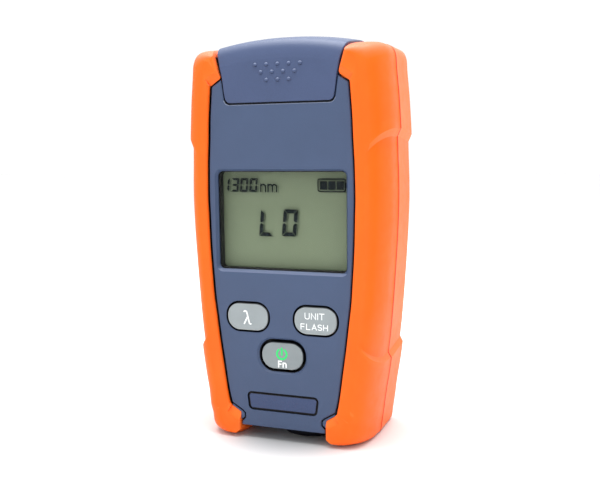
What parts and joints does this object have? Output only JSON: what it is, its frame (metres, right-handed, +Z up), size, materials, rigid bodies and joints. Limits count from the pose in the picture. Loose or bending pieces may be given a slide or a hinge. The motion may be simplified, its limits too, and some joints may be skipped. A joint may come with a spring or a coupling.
{
  "type": "optical power meter",
  "caption": "Hand-held fibre-optic power meter: slate case with orange side bumpers, LCD, grey keys, and a flip cover over a ferrule port on top.",
  "frame": {"origin": "centre of the footprint, on the surface that the feet stand on", "axes": "+Z up along the height, +X to the right as seen by the user, -Y out of the display"},
  "size_m": [0.0794, 0.0442, 0.1504],
  "materials": {
    "case": "fine-textured slate-blue ABS",
    "panel": "fine-textured slate-blue face plate",
    "plate": "grained slate-blue inlay",
    "cover": "fine-textured slate-blue, slightly violet",
    "bumper": "satin orange moulded elastomer",
    "lens": "clear polished window",
    "lcd": "grey-green reflective display",
    "black_plastic": "black moulded plastic",
    "silicone": "translucent silicone",
    "board": "green solder mask",
    "key": "satin light grey",
    "steel": "plated steel",
    "nickel": "nickel-plated brass",
    "cell": "printed steel can",
    "black_rubber": "soft black rubber"
  },
  "bodies": {
    "case": {"front_shell": "case", "rear_shell": "case", "front_panel": "panel", "label_plate": "plate", "front_bumper_left": "bumper", "front_bumper_right": "bumper", "rear_bumper_left": "bumper", "rear_bumper_right": "bumper", "display_window": "lens", "display_bezel": "black_plastic", "lcd_glass": "lcd", "lcd_frame": "black_plastic", "zebra_connector": "silicone", "main_board": "board", "controller_chip": "black_plastic", "usb_socket": "steel", "keypad_mat": "silicone", "hinge_pin": "steel", "port_body": "nickel", "port_adapter": "nickel", "photodiode": "steel", "detector_holder": "black_plastic", "battery_left": "cell", "battery_right": "cell", "battery_plates": "steel", "battery_springs": "steel", "case_screws": "steel", "board_screws": "steel"},
    "cover": {"flip_cover": "cover"},
    "wavelength_key": {"key_wavelength": "key"},
    "unit_key": {"key_unit": "key"},
    "power_key": {"key_power": "key"},
    "door": {"battery_door": "case"},
    "plug": {"port_plug": "black_rubber"}
  },
  "joints": [
    {"name": "cover_hinge", "type": "hinge", "parent": "case", "child": "cover", "pos_m": [0, 0.0177, 0.141], "axis": [-1, 0, 0], "range_deg": [0, 120]},
    {"name": "wavelength_press", "type": "slide", "parent": "case", "child": "wavelength_key", "axis": [0, 1, 0], "range_m": [0, 0.0008], "stiffness_N_per_m": 1200},
    {"name": "unit_press", "type": "slide", "parent": "case", "child": "unit_key", "axis": [0, 1, 0], "range_m": [0, 0.0008], "stiffness_N_per_m": 1200},
    {"name": "power_press", "type": "slide", "parent": "case", "child": "power_key", "axis": [0, 1, 0], "range_m": [0, 0.0008], "stiffness_N_per_m": 1200},
    {"name": "door_lift", "type": "slide", "parent": "case", "child": "door", "axis": [0, 1, 0], "range_m": [0, 0.03]},
    {"name": "plug_pull", "type": "slide", "parent": "case", "child": "plug", "axis": [0, 0, -1], "range_m": [0, 0.008]}
  ]
}
